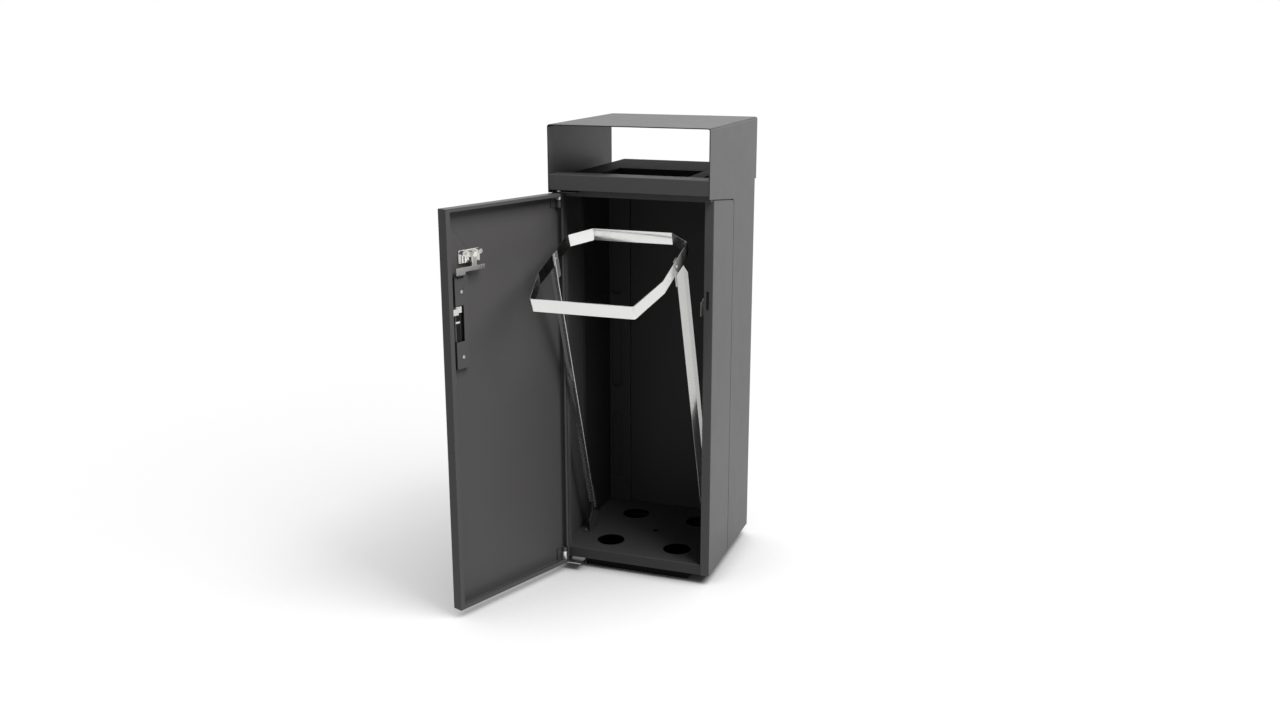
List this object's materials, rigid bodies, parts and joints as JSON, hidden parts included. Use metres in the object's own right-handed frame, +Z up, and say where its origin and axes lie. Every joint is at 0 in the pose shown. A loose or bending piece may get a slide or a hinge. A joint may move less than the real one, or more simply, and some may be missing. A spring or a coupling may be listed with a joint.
{
  "type": "outdoor waste bin",
  "caption": "Free-standing steel outdoor waste bin with an open chute under a square hood, a lockable side-hung door and a bag frame that swings out; door open.",
  "frame": {"origin": "axis of the floor anchor hole at ground level", "axes": "+Z up, the door and chute face -Y, +X to the right seen from the front"},
  "size_m": [0.5842, 0.8444, 1.27],
  "materials": {
    "grey_paint": "satin powder coat, dark grey",
    "black_paint": "satin black",
    "zinc": "bright zinc plated, satin",
    "frame_steel": "plain zinc-coated strip, satin",
    "fixing_zinc": "zinc plated",
    "lock_metal": "nickel plated"
  },
  "bodies": {
    "cabinet": {"plinth": "black_paint", "floor_plate": "grey_paint", "hood_shell": "grey_paint", "front_frame": "grey_paint", "back_panel": "grey_paint", "fascia": "grey_paint", "hopper": "grey_paint", "rear_post_left": "grey_paint", "rear_post_right": "grey_paint", "foot_bracket_left": "grey_paint", "foot_bracket_right": "grey_paint", "foot_bolts": "fixing_zinc", "hinge_bracket_lower": "zinc", "hinge_bracket_upper": "zinc", "strike": "zinc", "case_rivets": "fixing_zinc"},
    "hinge_pins": {"hinge_pins": "fixing_zinc"},
    "door": {"door_panel": "grey_paint", "hinge_leaf_lower": "zinc", "hinge_leaf_upper": "zinc", "lock_case": "zinc", "lock_escutcheon": "lock_metal", "bolt_guard": "grey_paint", "door_screws": "fixing_zinc"},
    "lock_works": {"lock_core": "lock_metal", "lock_lever": "zinc", "lock_nut": "fixing_zinc"},
    "bolt": {"bolt_bar": "zinc", "bolt_finger": "grey_paint"},
    "bag_frame": {"bag_ring": "frame_steel", "arm_left": "frame_steel", "arm_right": "frame_steel", "arm_foot_left": "grey_paint", "arm_foot_right": "grey_paint", "arm_rivets": "fixing_zinc", "pivot_pins": "fixing_zinc"}
  },
  "joints": [
    {"name": "hinge_pin_turn", "type": "hinge", "parent": "cabinet", "child": "hinge_pins", "pos_m": [-0.203, -0.219, 0.5], "axis": [0, 0, 1], "range_deg": [0, 26]},
    {"name": "door_swing", "type": "hinge", "parent": "hinge_pins", "child": "door", "pos_m": [-0.203, -0.219, 0.5], "axis": [0, 0, 1], "range_deg": [0, 84.5]},
    {"name": "bag_frame_swing", "type": "hinge", "parent": "cabinet", "child": "bag_frame", "pos_m": [0, -0.0485, 0.1325], "axis": [1, 0, 0], "range_deg": [-26.7, 0]},
    {"name": "lock_turn", "type": "hinge", "parent": "door", "child": "lock_works", "pos_m": [-0.31559, -0.52014, 0.966], "axis": [0.9367, -0.3502, 0], "range_deg": [0, 9]},
    {"name": "bolt_slide", "type": "slide", "parent": "door", "child": "bolt", "axis": [0, 0, -1], "range_m": [0, 0.008]}
  ],
  "couplings": [
    {"joint": "bag_frame_swing", "follows": "door_swing", "ratio": -0.31598},
    {"joint": "bolt_slide", "follows": "lock_turn", "m_per_rad": 0.05093}
  ]
}
